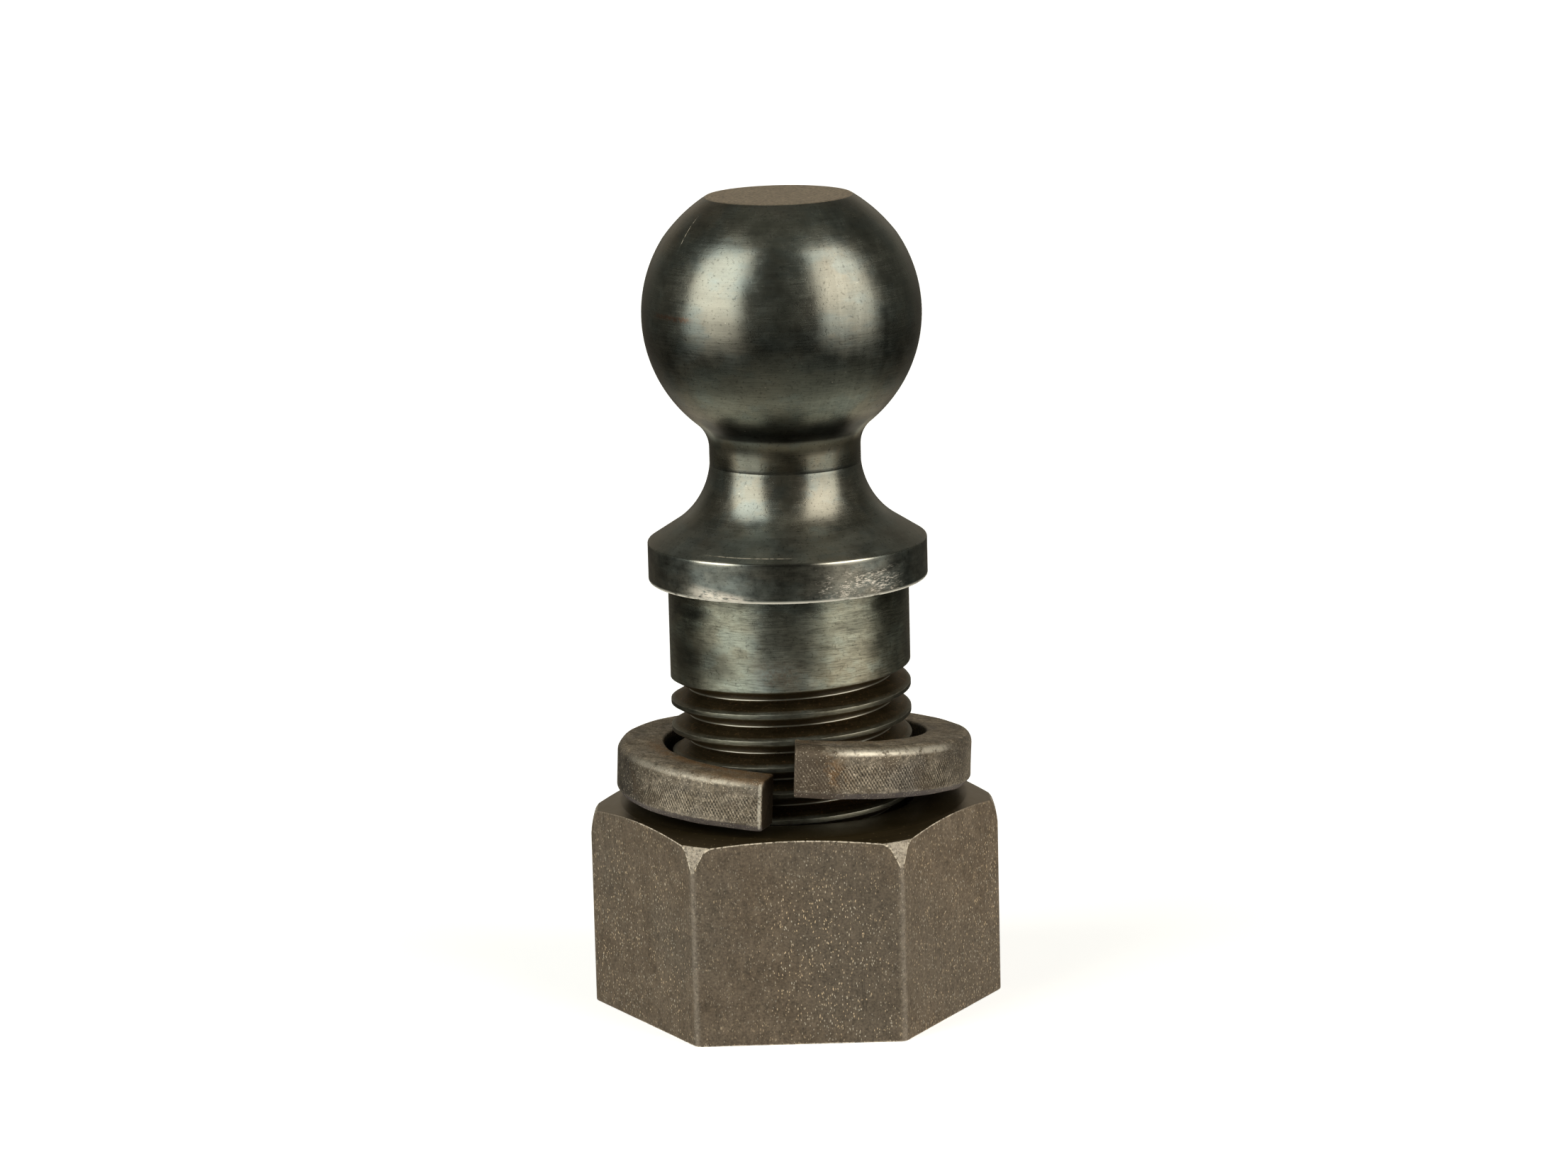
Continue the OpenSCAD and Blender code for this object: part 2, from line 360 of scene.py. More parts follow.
def make_washer():
    sec = rounded_section()
    ccw = np.sum(sec[:, 0] * np.roll(sec[:, 1], -1) - np.roll(sec[:, 0], -1) * sec[:, 1]) > 0
    nxt, prv = np.roll(sec[:, :2], -1, 0), np.roll(sec[:, :2], 1, 0)
    tan = nxt - prv
    tan /= np.linalg.norm(tan, axis=1, keepdims=True)
    normal = np.stack([tan[:, 1], -tan[:, 0]], 1) * (1 if ccw else -1)
    a0, a1 = math.radians(WASH_LOW + WASH_GAP - 360), math.radians(WASH_LOW)
    n = 300
    t = WASH_T

    def under(a, r):
        return WASH_RISE * (a1 - a) / TAU + r * (WASH_LEAN[0] * np.cos(a) + WASH_LEAN[1] * np.sin(a))

    probe = np.linspace(a0, a1, 91)
    base = NUT_H + WASH_CLEAR - min(under(probe, r).min() for r in (WASH_RI + 0.5, WASH_RO - 1.1))
    # the ends are broken by a small round: (distance from the end, inset)
    ends = [(0.0, 0.36), (0.05, 0.18), (0.14, 0.07), (0.36, 0.0)]
    soft = [(0.0, 0.72), (0.07, 0.44), (0.22, 0.2), (0.45, 0.06), (0.75, 0.0)]
    mid_r = (WASH_RI + WASH_RO) / 2
    stations = [(a0 + d / mid_r, i) for d, i in ends]
    stations += [(a, 0.0) for a in np.linspace(a0 + 1.2 / mid_r, a1 - 1.2 / mid_r, n)]
    stations += [(a1 - d / mid_r, i) for d, i in reversed(soft)]
    skin = Skin("edge", "along", "tall", "from_high", "from_low")
    along = np.cumsum(np.linalg.norm(sec[:, :2] - prv, axis=1))
    rings = []
    for k, (a, inset) in enumerate(stations):
        q = sec[:, :2] - normal * inset
        # hammered unevenness of the coiled bar
        q = q + normal * (
            0.045 * waves(np.full(len(q), a), along * 0.5, 3, 18, 6, 26)
            - 0.04 * (1 + waves(np.full(len(q), a), along * 0.2, 5, 14, 3, 14))
        )[:, None]
        dz = q[:, 1] - t / 2
        # the low end is cut a little askew, its inner corner further on
        turn = a + 0.022 * np.clip((WASH_RO - q[:, 0]) / 9.8, 0, 1) * max(0.0, 1 - (a1 - a) * mid_r / 6)
        pts = np.stack([
            WASH_SHIFT + q[:, 0] * np.cos(turn) - WASH_LEAN[0] * dz,
            q[:, 0] * np.sin(turn) - WASH_LEAN[1] * dz,
            base + under(a, q[:, 0]) + q[:, 1],
        ], 1)
        worn = np.full(len(q), 1.0 if 0 < inset < 0.72 else 0.0)
        rings.append(skin.add(
            pts, edge=np.maximum(sec[:, 2], worn), along=q[:, 0], tall=q[:, 1],
            from_high=(a - a0) * mid_r, from_low=(a1 - a) * mid_r,
        ))
    for a, b in zip(rings[:-1], rings[1:]):
        skin.band(a, b)
    skin.faces.append([int(i) for i in rings[0]])
    skin.faces.append([int(i) for i in rings[-1]])
    return skin.build("lock_washer_coiled", sharp=50)


# ---------------------------------------------------------------- hex nut
def nut_columns():
    """Angles and radii of the nut's outline: rounded corners, and flats between them."""
    big = NUT_FLATS / math.sqrt(3)
    c = big - NUT_CORNER / math.cos(math.radians(30))
    angles, radii, corner = [], [], []
    for k in range(6):
        for s in (-30, -20, -10, 0, 10, 20, 30):
            a = math.radians(s)
            x, y = c + NUT_CORNER * math.cos(a), NUT_CORNER * math.sin(a)
            angles.append(math.radians(60 * k) + math.atan2(y, x))
            radii.append(math.hypot(x, y))
            corner.append(1.0 - abs(s) / 60)
        edge = math.atan2(NUT_CORNER / 2, c + NUT_CORNER * math.cos(math.radians(30)))
        # even steps along the flat
        half = math.tan(math.radians(30) - edge)
        for f in np.linspace(-1, 1, 30)[1:-1]:
            a = math.radians(60 * k + 30) + math.atan(f * half)
            angles.append(a)
            radii.append(NUT_FLATS / 2 / math.cos(math.atan(f * half)))
            corner.append(0.0)
    a = np.array(angles)
    start = a[0]
    return a - 0 * start, np.array(radii), np.array(corner)


def nut_inner(z):
    mouth = NUT_MOUTH_R
    r = np.maximum(NUT_BORE_R, NUT_BORE_R + z - (NUT_H - (mouth - NUT_BORE_R)))
    return np.maximum(r, NUT_BORE_R + (mouth - NUT_BORE_R) - z)


def make_nut():
    skin = Skin("edge", "corner", "top", "bore")
    a, rad, corner = nut_columns()
    m = len(a)
    full = np.append(a, a[0] + TAU)
    # thread in the bore
    zs, rs = [], []
    depth = NUT_ROOT_R - NUT_BORE_R
    flat = ridge(NUT_ROOT_R) + PLAY
    hs = [0.0, 0.06, 1.2, 2.2, depth - 0.08, depth]

    def side(zc, sign):
        out = []
        for j, h in enumerate(hs):
            w = flat * 0.82 if j == 0 else flat + h * FLANK + (0.1 if j == 5 else 0)
            z = zc + sign * w
            out.append((z, np.maximum(nut_inner(z), NUT_ROOT_R - h)))
        return out

    for t in range(-1, 9):
        zc = PHASE + PITCH * (t + full / TAU)
        zs.append(zc - PITCH / 2)
        rs.append(nut_inner(zc - PITCH / 2))
        for z, r in reversed(side(zc, -1)):
            zs.append(z), rs.append(r)
        if t == 8:
            break
        for z, r in side(zc, 1):
            zs.append(z), rs.append(r)
    z, r = np.array(zs), np.array(rs)
    bore = np.clip(1 - np.maximum(z - NUT_H, -z) / 0.5, 0, 1)
    z = np.clip(z, 0, NUT_H)
    per = 13
    ids = screw(skin, full, z, r, per, bore=bore, top=(z > NUT_H - 0.01) * 1.0)
    low = skin.ring(a, 35.0, 0.0)
    close_low(skin, ids, low, per)
    high = skin.ring(a, 35.0, NUT_H, top=1)
    close_top(skin, ids, high, per)
    # outside, from the bottom face up and over the chamfer to the top face
    big = NUT_FLATS / math.sqrt(3) - NUT_CORNER * (1 / math.cos(math.radians(30)) - 1)
    # profile over a corner: a steep hollow-sided facet, then the shallow chamfer
    p1, p2, p3 = np.array([big, NUT_H - 6.7]), np.array([big - 1.6, NUT_H - 1.4]), np.array([NUT_FACE_R, NUT_H])
    pull = np.array([big - 0.67, NUT_H - 1.66])
    steep = rad > p2[0]

    def facet_at(t):
        t = t[:, None]
        return p1 * (1 - t) ** 2 + 2 * pull * t * (1 - t) + p2 * t**2

    bend = -(p1[0] - 2 * pull[0] + p2[0])
    slant = 2 * (p1[0] - pull[0])
    t0 = (-slant + np.sqrt(slant**2 + 4 * bend * np.maximum(p1[0] - rad, 0))) / (2 * bend)
    t0 = np.clip(t0, 0, 1)
    za = np.where(
        steep,
        facet_at(t0)[:, 1],
        p2[1] + (p2[0] - rad) / (p2[0] - p3[0]) * (p3[1] - p2[1]),
    )
    d2 = (p3 - p2) / np.linalg.norm(p3 - p2)
    edge_xy = np.stack([rad, za], 1)

    def over(f):
        """Points a share f of the way over the facet, or just onto the chamfer beside it."""
        return np.where(steep[:, None], facet_at(t0 + (1 - t0) * f), edge_xy + d2 * 0.03 * f)

    last = low
    nick = waves(a, 0, 11, 24, 9, 80)

    def level(r, z, **v):
        nonlocal last
        ring = skin.ring(a, r, z, **v)
        skin.band(last, ring)
        last = ring

    level(rad - 0.9, 0.0, corner=corner)
    b = 0.4
    for x in (0, 30, 60, 90):
        f = math.radians(x)
        level(rad - b + b * math.sin(f), b - b * math.cos(f), edge=0.7 if 0 < x < 90 else 0.2, corner=corner)
    for h in (1.2, 4.0, 9.0, 15.0, 21.0, 27.0, 32.0, 35.0, 36.8):
        level(rad, np.minimum(h, za - 0.9), corner=corner)
    bev = 0.24
    level(rad, za - 0.45, corner=corner)
    level(rad, za - bev, corner=corner, edge=0.6)
    length = np.where(steep, np.linalg.norm(p2 - edge_xy, axis=1), 0.0)
    tri = np.clip(length / 0.5, 0, 1)
    q = over(0.02)
    level(q[:, 0] - 0.03 - 0.02 * nick, q[:, 1] - 0.01 - 0.03 * (1 + nick), corner=corner, edge=1.0)
    for f, worn in ((0.08, 0.9), (0.25, 0.6), (0.5, 0.6), (0.75, 0.6), (0.95, 0.9)):
        q = over(f)
        level(q[:, 0], q[:, 1], corner=np.maximum(corner, tri), edge=np.where(steep, worn, 0.5 - 0.2 * f), top=np.where(steep, 0, 0.5 + 0.3 * f))
    kink = over(1.0)
    level(kink[:, 0] - 0.02, kink[:, 1] - 0.015, corner=tri, edge=np.where(steep, 1.0, 0.2), top=np.where(steep, 0.5, 1))
    room = (kink[:, 0] - p3[0]) / -d2[0]
    for f in (0.2, 0.5, 1.2):
        q = kink + d2 * np.minimum(f, room * f / 1.5)[:, None]
        level(q[:, 0], q[:, 1], top=1, edge=0.3 if f < 0.3 else 0)
    q = kink + d2 * (room * 0.9)[:, None]
    level(q[:, 0], q[:, 1], top=1)
    level(p3[0] + 0.12, p3[1] - 0.03, top=1, edge=0.3)
    level(p3[0] - 0.15, p3[1], top=1)
    skin.band(last, high)
    return skin.build("hex_nut_forged", sharp=34)


stud = make_stud()
washer = make_washer()
nut = make_nut()


# ---------------------------------------------------------------- materials
class Graph:
    """Short names for building a node material."""

    def __init__(self, name, world=None):
        if world is None:
            self.owner = bpy.data.materials.new(name)
        else:
            self.owner = world
        self.owner.use_nodes = True
        self.tree = self.owner.node_tree
        self.tree.nodes.clear()

    def node(self, kind, inputs=None, **props):
        n = self.tree.nodes.new(kind)
        for k, v in props.items():
            setattr(n, k, v)
        for k, v in (inputs or {}).items():
            self.put(n.inputs[k], v)
        return n

    def put(self, socket, v):
        if isinstance(v, bpy.types.NodeSocket):
            self.tree.links.new(v, socket)
        else:
            socket.default_value = v

    def math(self, op, a, b=0.0, c=0.0, clamp=False):
        n = self.node("ShaderNodeMath", operation=op, use_clamp=clamp)
        for i, v in enumerate((a, b, c)):
            if i < len(n.inputs):
                self.put(n.inputs[i], v)
        return n.outputs[0]

    def mul(self, a, b):
        return self.math("MULTIPLY", a, b)

    def plus(self, a, b):
        return self.math("ADD", a, b)

    def minus(self, a, b):
        return self.math("SUBTRACT", a, b)

    def attr(self, name):
        return self.node("ShaderNodeAttribute", attribute_name=name).outputs["Fac"]

    def vec(self, x, y, z):
        return self.node("ShaderNodeCombineXYZ", {0: x, 1: y, 2: z}).outputs[0]

    def noise(self, vector, scale=1.0, detail=2.0, rough=0.5, distortion=0.0):
        n = self.node("ShaderNodeTexNoise", {"Vector": vector, "Scale": scale, "Detail": detail, "Roughness": rough, "Distortion": distortion})
        return n.outputs[0]

    def cells(self, vector, scale=1.0, feature="F1", rand=1.0):
        n = self.node("ShaderNodeTexVoronoi", {"Vector": vector, "Scale": scale, "Randomness": rand}, feature=feature)
        return n

    def step(self, v, lo, hi, to_lo=0.0, to_hi=1.0):
        n = self.node("ShaderNodeMapRange", {0: v, 1: lo, 2: hi, 3: to_lo, 4: to_hi}, interpolation_type="SMOOTHSTEP")
        return n.outputs[0]

    def line(self, v, lo, hi, to_lo=0.0, to_hi=1.0):
        return self.node("ShaderNodeMapRange", {0: v, 1: lo, 2: hi, 3: to_lo, 4: to_hi}).outputs[0]

    def curve(self, v, stops):
        """A value that follows the given (v, value) stops, with straight lines between them."""
        lo, hi = stops[0][0], stops[-1][0]
        n = self.node("ShaderNodeValToRGB", {0: self.line(v, lo, hi)})
        els = n.color_ramp.elements
        while len(els) < len(stops):
            els.new(0.5)
        for e, (at, value) in zip(els, stops):
            e.position = (at - lo) / (hi - lo)
            e.color = (value, value, value, 1)
        return self.node("ShaderNodeSeparateColor", {0: n.outputs[0]}).outputs[0]

    def mix(self, f, a, b, blend="MIX"):
        n = self.node("ShaderNodeMix", data_type="RGBA", blend_type=blend)
        self.put(n.inputs[0], f)
        self.put(n.inputs[6], a if isinstance(a, bpy.types.NodeSocket) else (*a, 1))
        self.put(n.inputs[7], b if isinstance(b, bpy.types.NodeSocket) else (*b, 1))
        return n.outputs[2]

    def shade(self, colour, f):
        """A colour made lighter or darker by a factor."""
        n = self.node("ShaderNodeVectorMath", operation="SCALE")
        self.put(n.inputs[0], colour)
        self.put(n.inputs["Scale"], f)
        return n.outputs[0]

    def bump(self, height, strength, distance, normal=None):
        n = self.node("ShaderNodeBump", {"Height": height, "Strength": strength, "Distance": distance})
        if normal is not None:
            self.put(n.inputs["Normal"], normal)
        return n.outputs[0]

    def mm(self):
        """Position in the piece's own frame, in millimetres, and its parts."""
        tc = self.node("ShaderNodeTexCoord").outputs["Object"]
        n = self.node("ShaderNodeVectorMath", operation="SCALE")
        self.put(n.inputs[0], tc)
        n.inputs["Scale"].default_value = 1000.0
        p = n.outputs[0]
        s = self.node("ShaderNodeSeparateXYZ", {0: p})
        x, y, z = s.outputs
        r = self.math("SQRT", self.plus(self.mul(x, x), self.plus(self.mul(y, y), 1e-6)))
        return p, x, y, z, r

    def surface(self, **inputs):
        b = self.node("ShaderNodeBsdfPrincipled")
        for k, v in inputs.items():
            self.put(b.inputs[k.replace("_", " ")], v)
        out = self.node("ShaderNodeOutputMaterial")
        self.tree.links.new(b.outputs[0], out.inputs[0])
        return b

    def window(self, v, lo, hi, soft):
        """1 between lo and hi, falling to 0 over soft on each side."""
        return self.mul(self.step(v, lo - soft, lo + soft), self.minus(1.0, self.step(v, hi - soft, hi + soft)))


def stud_material():
    g = Graph("stud_blackened_steel")
    p, x, y, z, r = g.mm()
    ux, uy = g.math("DIVIDE", x, r), g.math("DIVIDE", y, r)
    run, edge, cut = g.attr("run"), g.attr("edge"), g.attr("cut")
    az = g.mul(g.math("ARCTAN2", y, x), 180 / math.pi)

    def turning(around, across):
        return g.vec(g.mul(ux, around), g.mul(uy, around), g.mul(run, across))

    lines = g.noise(turning(4.0, 7.0), 1.0, 3.0, 0.6)
    bands = g.noise(turning(1.6, 0.55), 1.0, 4.0, 0.55)
    brush = g.noise(turning(9.0, 3.4), 1.0, 5.0, 0.68)
    mottle = g.noise(p, 0.22, 6.0, 0.62)
    grain = g.noise(p, 1.7, 3.0, 0.6)
    broad = g.noise(p, 0.045, 3.0, 0.5)
    cloud = g.noise(turning(2.6, 0.16), 1.0, 5.0, 0.6)
    ball = g.step(z, 124.0, 127.0)
    shank = g.minus(1.0, g.step(z, 91.2, 91.7))
    lower = g.mul(ball, g.minus(1.0, g.step(z, 147.0, 147.25)))
    cone = g.mul(g.step(z, 99.9, 100.4), g.minus(1.0, g.step(z, 103.5, 106.5)))
    fillet = g.window(z, 119.6, 127.0, 2.5)
    under = g.mul(g.mul(g.step(z, 122.9, 123.7), g.minus(1.0, g.step(z, 124.6, 130.0))), g.window(az, -146.0, -34.0, 6.0))
    on_rim = g.mul(g.window(z, 92.0, 99.9, 0.15), g.step(r, 29.2, 29.4))

    # dark oxide: grey-green, in places browner or bluer
    colour = g.mix(g.step(broad, 0.38, 0.66), (0.206, 0.213, 0.190), (0.224, 0.209, 0.174))
    colour = g.mix(g.mul(g.step(cloud, 0.46, 0.62), 0.55), colour, (0.180, 0.206, 0.200))
    tone = g.plus(g.line(mottle, 0.3, 0.7, 0.80, 1.14), g.line(lines, 0.3, 0.7, -0.09, 0.09))
    tone = g.plus(tone, g.line(bands, 0.3, 0.7, -0.09, 0.09))
    pits = g.step(grain, 0.30, 0.44)
    tone = g.mul(tone, g.line(pits, 0, 1, 0.62, 1.0))
    # brushed streaks and clouded oil on the plain shank, and below the ball's widest line
    streaky = g.plus(shank, g.mul(lower, 0.5))
    tone = g.mul(tone, g.minus(1.0, g.mul(streaky, g.line(brush, 0.34, 0.56, 0.44, -0.12))))
    tone = g.mul(tone, g.minus(1.0, g.mul(shank, g.line(cloud, 0.38, 0.60, 0.34, -0.14))))
    # painted light: the front of the plain shank is made lighter, most towards the right
    tone = g.mul(tone, g.plus(1.0, g.mul(g.mul(shank, g.window(az, -139.0, -46.0, 5.0)), g.step(az, -115.0, -70.0, 0.74, 1.04))))
    # painted shade, broken into lathe streaks, high on the shank's left below the flange
    left_shade_streaks = g.mul(g.window(az, -160.0, -131.0, 5.0), g.window(z, 86.4, 88.8, 0.7))
    tone = g.mul(tone, g.minus(1.0, g.mul(g.mul(left_shade_streaks, g.step(brush, 0.30, 0.50)), 0.6)))
    # painted light: the shank is made lighter outside the two soft-box reflections
    lit = g.plus(g.window(az, -134.0, -109.0, 5.0), g.window(az, -77.0, -47.0, 5.0))
    tone = g.mul(tone, g.plus(1.0, g.mul(g.mul(shank, g.minus(1.0, lit)), 0.30)))
    # painted shade: the shank darkens towards the flange above it
    tone = g.mul(tone, g.minus(1.0, g.mul(shank, g.step(z, 87.4, 91.2, 0.0, 0.42))))
    corner = g.mul(g.window(az, -158, -122, 9), g.window(z, 74.0, 81.0, 2.6))
    tone = g.mul(tone, g.minus(1.0, g.mul(g.mul(corner, g.step(brush, 0.28, 0.56)), 0.72)))
    tone = g.mul(tone, g.minus(1.0, g.mul(on_rim, g.line(z, 92.0, 99.5, -0.20, 0.0))))
    tone = g.mul(tone, g.minus(1.0, g.mul(lower, 0.08)))
    tone = g.mul(tone, g.minus(1.0, g.mul(g.window(z, 116.3, 116.52, 0.05), 0.25)))
    # painted shade: a dark band on the front of the ball's underside, above the neck
    tone = g.mul(tone, g.minus(1.0, g.mul(under, 0.78)))
    # painted shade: the soft boxes' pale reflections low on the ball are darkened
    pale = g.mul(g.window(z, 124.4, 127.6, 1.3), g.plus(g.window(az, -125.0, -105.0, 5.0), g.window(az, -75.0, -55.0, 5.0)))
    tone = g.mul(tone, g.minus(1.0, g.mul(pale, 0.42)))
    # painted glints at the ball's lower sides, near the neck
    glint = g.mul(g.window(z, 122.4, 126.6, 1.4), g.plus(g.window(az, -163.0, -150.0, 3.5), g.window(az, -30.0, -17.0, 3.5)))
    tone = g.mul(tone, g.plus(1.0, g.mul(glint, 1.5)))
    # painted light: the front middle of the cone and neck is made lighter
    tone = g.mul(tone, g.plus(1.0, g.mul(g.mul(g.window(z, 103.0, 119.0, 2.5), g.window(az, -106.0, -76.0, 6.0)), 0.12)))
    # painted reflection: a band low on the ball, all round, is made lighter, as where it mirrors the pale table
    tone = g.mul(tone, g.plus(1.0, g.mul(g.window(z, 127.5, 134.5, 2.0), 0.46)))
    # fine upright streaks on the ball's right
    drawn = g.mul(ball, g.window(az, -80.0, -38.0, 7.0))
    tone = g.mul(tone, g.plus(1.0, g.mul(drawn, g.line(g.noise(turning(26.0, 0.035), 1.0, 3.0, 0.6), 0.34, 0.66, -0.10, 0.08))))
    # painted shade: the front middle of the ball is darkened
    tone = g.mul(tone, g.minus(1.0, g.mul(g.mul(g.window(z, 143.0, 162.0, 4.0), g.window(az, -106.0, -80.0, 6.0)), 0.10)))
    # painted shade: a band below the ball's middle, across the front, is darkened
    tone = g.mul(tone, g.minus(1.0, g.mul(g.mul(g.window(z, 134.0, 142.5, 3.0), g.window(az, -125.0, -60.0, 12.0)), 0.32)))
    # painted shade: the flange's top edge is darkened in the middle of the front, where no soft box reflects
    top_edge_painted_light = g.mul(edge, g.window(z, 99.0, 100.5, 0.1))
    tone = g.mul(tone, g.minus(1.0, g.mul(g.mul(top_edge_painted_light, g.window(az, -111.0, -79.0, 6.0)), 0.72)))
    tone = g.mul(tone, g.minus(1.0, g.mul(on_rim, g.line(g.noise(turning(7.0, 0.45), 1.0, 5.0, 0.65), 0.36, 0.60, 0.45, -0.08))))
    colour = g.shade(colour, tone)
    colour = g.mix(g.mul(shank, 1.0), colour, g.mix(1.0, colour, (1.0, 0.985, 0.90), "MULTIPLY"))
    colour = g.mix(g.window(z, 117.0, 122.5, 0.6), colour, g.mix(1.0, colour, (0.95, 0.90, 0.82), "MULTIPLY"))
    # painted reflection: the front of the shank, between the two soft-box reflections, is tinted bluer
    colour = g.mix(g.mul(shank, g.window(az, -107.0, -79.0, 7.0)), colour, g.mix(1.0, colour, (0.97, 1.03, 1.16), "MULTIPLY"))
    # warm stains: one low on the shank, one on the ball's left
    low_stain = g.mul(g.window(az, -106, -86, 7), g.window(z, 73.5, 78.5, 1.8))
    side_stain = g.mul(g.window(az, -153, -131, 4), g.window(z, 149.7, 150.7, 0.4))
    stain = g.plus(g.mul(low_stain, 0.40), g.mul(side_stain, 0.75))
    colour = g.mix(g.mul(stain, g.step(grain, 0.32, 0.6)), colour, (0.24, 0.125, 0.08))
    # thin light scratches: one on the ball's shoulder, one on the cone
    across = g.plus(az, g.plus(147.5, g.mul(g.minus(z, 164.05), 0.572)))
    scratch = g.mul(g.minus(1.0, g.step(g.math("ABSOLUTE", across), 0.15, 0.42)), g.window(z, 164.2, 169.6, 0.8))
    ring = g.mul(g.window(r, 27.74, 27.92, 0.07), g.mul(g.window(az, -126, -90, 5), g.window(z, 100.3, 102.5, 0.2)))
    scratch = g.mul(g.math("MAXIMUM", scratch, ring), g.step(g.noise(p, 0.9, 3.0, 0.6), 0.36, 0.55))
    colour = g.mix(g.mul(scratch, 0.75), colour, (0.62, 0.54, 0.43))
    # dust
    dots = g.cells(p, 0.42)
    dust = g.minus(1.0, g.step(dots.outputs["Distance"], 0.03, 0.075))
    colour = g.mix(g.mul(dust, 0.45), colour, (0.50, 0.47, 0.40))

    rough = g.plus(g.line(mottle, 0.3, 0.7, 0.19, 0.29), g.line(lines, 0.3, 0.7, -0.03, 0.04))
    rough = g.plus(rough, g.plus(g.mul(cone, 0.16), g.mul(fillet, 0.10)))
    rough = g.plus(rough, g.plus(g.mul(on_rim, 0.09), g.mul(lower, 0.03)))
    rough = g.plus(rough, g.mul(shank, g.line(z, 75.0, 88.0, 0.14, 0.02)))

    # thread: brown oily flanks, a bright burnished line in the bottom of the groove
    rusty = g.step(g.noise(p, 1.3, 4.0, 0.7), 0.56, 0.68)
    oily = g.shade(g.mix(grain, (0.060, 0.043, 0.020), (0.128, 0.094, 0.050)), g.line(lines, 0.3, 0.7, 0.7, 1.3))
    oily = g.mix(g.mul(rusty, 0.75), oily, (0.28, 0.17, 0.085))
    deep = g.step(g.attr("deep"), 0.2, 0.8)
    oily = g.mix(deep, oily, (0.46, 0.44, 0.385))
    colour = g.mix(cut, colour, oily)
    below = g.minus(1.0, g.step(z, 68.0, 70.5))
    crest = g.mul(below, g.minus(1.0, cut))
    colour = g.mix(g.mul(crest, 0.85), colour, g.shade(g.mix(mottle, (0.095, 0.088, 0.066), (0.16, 0.151, 0.120)), g.line(brush, 0.35, 0.6, 0.65, 1.15)))
    rough = g.plus(rough, g.mul(cut, g.line(deep, 0, 1, 0.08, -0.06)))

    # flat on top: matte, brown-grey
    flat = g.step(z, 172.6, 172.75)
    face = g.noise(g.vec(g.mul(ux, 2.5), g.mul(uy, 2.5), g.mul(r, 4.0)), 1.0, 3.0, 0.6)
    flat_colour = g.shade(g.mix(mottle, (0.44, 0.36, 0.27), (0.68, 0.58, 0.455)), g.line(face, 0.3, 0.7, 0.90, 1.10))
    colour = g.mix(flat, colour, g.shade(flat_colour, g.line(grain, 0.3, 0.7, 0.62, 1.34)))
    rough = g.plus(rough, g.mul(flat, 0.2))

    # bright rubs on the flange rim
    right = g.mul(g.window(az, -78, -38, 6), g.window(z, 92.2, 97.2, 1.9))
    left = g.mul(g.window(az, -132, -106, 8), g.minus(1.0, g.step(z, g.line(az, -132, -106, 93.4, 92.0), g.line(az, -132, -106, 95.8, 93.6))))
    streak = g.noise(turning(16.0, 2.6), 1.0, 4.0, 0.65)
    fleck = g.noise(turning(28.0, 3.8), 1.0, 5.0, 0.74)
    group = g.step(g.noise(turning(9.0, 0.7), 1.0, 4.0, 0.65), 0.40, 0.60)
    rub = g.math("MAXIMUM", g.mul(right, g.mul(g.step(fleck, 0.50, 0.56), g.line(group, 0, 1, 0.10, 1))), g.mul(left, g.step(g.plus(g.mul(streak, 0.65), g.mul(fleck, 0.35)), 0.38, 0.53)))
    rub = g.mul(g.mul(rub, on_rim), 0.88)
    colour = g.mix(rub, colour, g.mix(grain, (0.66, 0.56, 0.47), (0.92, 0.85, 0.75)))
    rough = g.plus(rough, g.mul(rub, 0.1))
    # worn edges, brightest on the flange's lower edge, and painted highlights on the flange's top edge where the soft
    # boxes reflect
    worn = g.mul(g.step(edge, 0.3, 0.9), g.step(g.noise(turning(7.0, 0.6), 1.0, 4.0, 0.7), 0.36, 0.6))
    worn = g.mul(worn, g.minus(0.35, g.mul(g.window(z, 99.0, 100.5, 0.1), 0.35)))
    top_edge_painted_light = g.mul(top_edge_painted_light, g.plus(g.window(az, -131.0, -114.0, 5.0), g.window(az, -77.0, -56.0, 6.0)))
    worn = g.math("MAXIMUM", worn, g.mul(top_edge_painted_light, 0.8))
    lip = g.mul(g.mul(edge, g.window(z, 91.7, 92.5, 0.1)), g.step(g.noise(turning(9.0, 0.6), 1.0, 4.0, 0.7), 0.28, 0.5))
    worn = g.math("MAXIMUM", worn, g.mul(lip, 0.95))
    colour = g.mix(worn, colour, (0.78, 0.74, 0.65))

    height = g.plus(g.mul(lines, 0.5), g.plus(g.mul(bands, 0.35), g.mul(pits, 0.5)))
    height = g.plus(height, g.plus(g.mul(rub, 0.8), g.mul(g.mul(brush, shank), 0.5)))
    normal = g.bump(height, 0.12, 0.00012)
    g.surface(Base_Color=colour, Metallic=g.minus(1.0, g.math("MAXIMUM", g.mul(scratch, 0.5), g.math("MAXIMUM", g.mul(rub, 0.5), g.mul(lip, 0.55)))), Roughness=rough, Normal=normal)
    return g.owner


